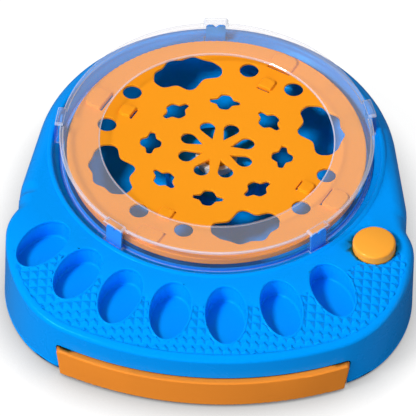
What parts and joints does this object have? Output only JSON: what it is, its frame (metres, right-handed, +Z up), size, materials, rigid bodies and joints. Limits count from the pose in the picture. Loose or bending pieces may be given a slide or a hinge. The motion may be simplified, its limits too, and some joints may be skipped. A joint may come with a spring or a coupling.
{
  "type": "spin art machine",
  "caption": "Battery spin art machine: a slotted turntable in a bowl under a clear splash guard, paint wells along the front, a push button and a storage drawer.",
  "frame": {"origin": "on the table, under the middle of the bounding box", "axes": "+Z up along the spindle; front with the drawer towards -Y; +X towards the push button's side"},
  "size_m": [0.274, 0.3026, 0.072],
  "materials": {
    "housing": "glossy moulded",
    "base": "satin moulded",
    "turntable": "glossy moulded",
    "button": "glossy moulded",
    "drawer_front": "satin moulded",
    "drawer_tray": "satin moulded",
    "guard": "clear moulded plastic",
    "steel": "bright",
    "spring_steel": "drawn",
    "rubber": "matte",
    "white_plastic": "moulded",
    "black_plastic": "moulded",
    "motor_case": "drawn can",
    "brass": "plain",
    "cell_wrap": "printed wrap, plain",
    "red_wire": "smooth",
    "black_wire": "smooth",
    "yellow_wire": "smooth"
  },
  "bodies": {
    "body": {"upper_housing": "housing", "catch_bowl": "housing", "paint_cups": "housing", "base_plate": "base", "battery_door": "base", "battery_door_screw": "steel", "housing_screws": "steel", "rubber_feet": "rubber", "spindle_collar": "white_plastic", "upper_bush": "brass", "lower_bush": "brass", "motor_can": "motor_case", "motor_end_cap": "white_plastic", "motor_bracket": "steel", "bracket_screws": "steel", "button_spring": "spring_steel", "switch_block": "black_plastic", "switch_spacer": "black_plastic", "switch_lower_leaf": "brass", "switch_upper_leaf": "brass", "battery_cells": "cell_wrap", "battery_contact_plates": "steel", "battery_springs": "spring_steel", "battery_wire": "red_wire", "switched_wire": "yellow_wire", "return_wire": "black_wire"},
    "turntable": {"turntable": "turntable", "drive_hub": "brass", "spindle": "steel", "spindle_gear": "white_plastic"},
    "rotor": {"motor_rotor": "steel", "motor_pinion": "brass"},
    "guard": {"splash_guard": "guard", "guard_lip": "guard"},
    "button": {"push_button": "button", "button_clip_ring": "spring_steel"},
    "drawer": {"drawer_front": "drawer_front", "drawer_tray": "drawer_tray"}
  },
  "joints": [
    {"name": "turntable_spin", "type": "hinge", "parent": "body", "child": "turntable", "pos_m": [0, 0.02975, 0.059], "axis": [0, 0, 1], "continuous": true},
    {"name": "rotor_spin", "type": "hinge", "parent": "body", "child": "rotor", "pos_m": [0, 0.04775, 0.03], "axis": [0, 0, 1], "continuous": true},
    {"name": "guard_lift", "type": "slide", "parent": "body", "child": "guard", "axis": [0, 0, 1], "range_m": [0, 0.06]},
    {"name": "button_press", "type": "slide", "parent": "body", "child": "button", "axis": [0, 0, -1], "range_m": [0, 0.003], "stiffness_N_per_m": 500, "springref_m": -0.004, "deforming": ["button_spring"]},
    {"name": "drawer_slide", "type": "slide", "parent": "body", "child": "drawer", "axis": [0, -1, 0], "range_m": [0, 0.085]}
  ],
  "couplings": [
    {"joint": "rotor_spin", "follows": "turntable_spin", "ratio": -5}
  ]
}
